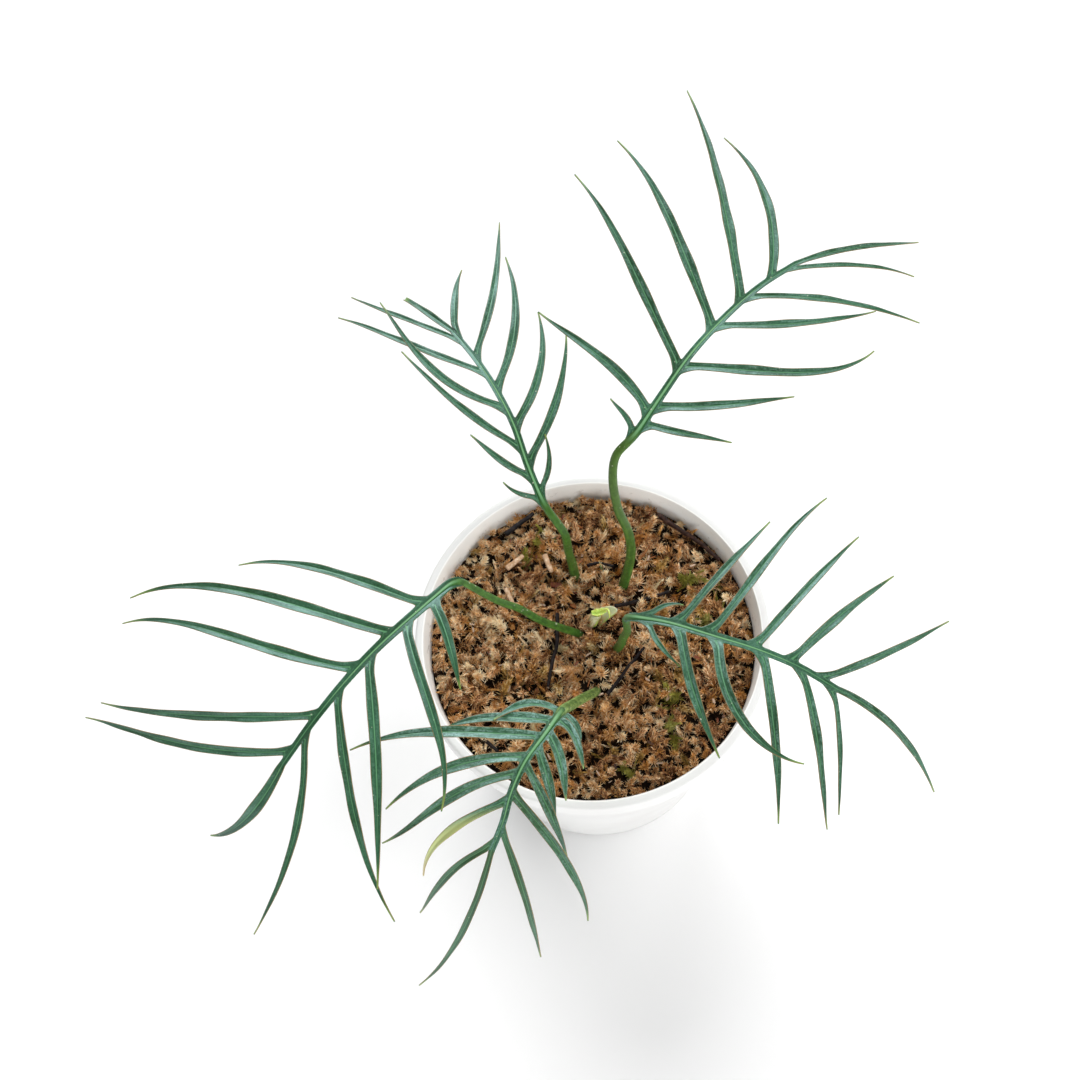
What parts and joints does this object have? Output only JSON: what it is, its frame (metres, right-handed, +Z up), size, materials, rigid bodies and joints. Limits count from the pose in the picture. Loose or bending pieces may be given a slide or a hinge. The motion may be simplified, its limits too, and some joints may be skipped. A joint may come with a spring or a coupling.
{
  "type": "potted philodendron tortum",
  "caption": "Young house plant with deeply cut, comb-like leaves on slender stalks and a new shoot, growing from moss in a plain white pot with drain holes.",
  "frame": {"origin": "middle of the pot's flat underside, on the surface that the pot stands on", "axes": "+Z up along the pot's axis, -Y towards the front, +X to the right as seen from the front"},
  "size_m": [0.3285, 0.2885, 0.2133],
  "materials": {
    "pot": "white, satin, plain",
    "moss": "moist chopped sphagnum, golden brown to dark brown",
    "leaf": "leathery leaf, dark green with a blue-grey bloom and a pale midrib",
    "sheath": "thin pale green leaf base with fine veins, pinkish at its foot",
    "new_leaf": "soft, bright yellow-green",
    "twig": "thin dark bark",
    "straw": "dry stalk, pale tan"
  },
  "bodies": {
    "root": {"pot": "pot", "moss": "moss", "leaf_rear_right": "leaf", "leaf_rear_left": "leaf", "leaf_left": "leaf", "leaf_right": "leaf", "leaf_front": "leaf", "new_shoot": "sheath", "new_leaf": "new_leaf", "twig_1": "twig", "twig_2": "twig", "twig_3": "twig", "twig_4": "twig", "twig_5": "twig", "twig_6": "twig", "twig_7": "twig", "twig_8": "twig", "straw_1": "straw", "straw_2": "straw", "straw_3": "straw"}
  },
  "joints": []
}
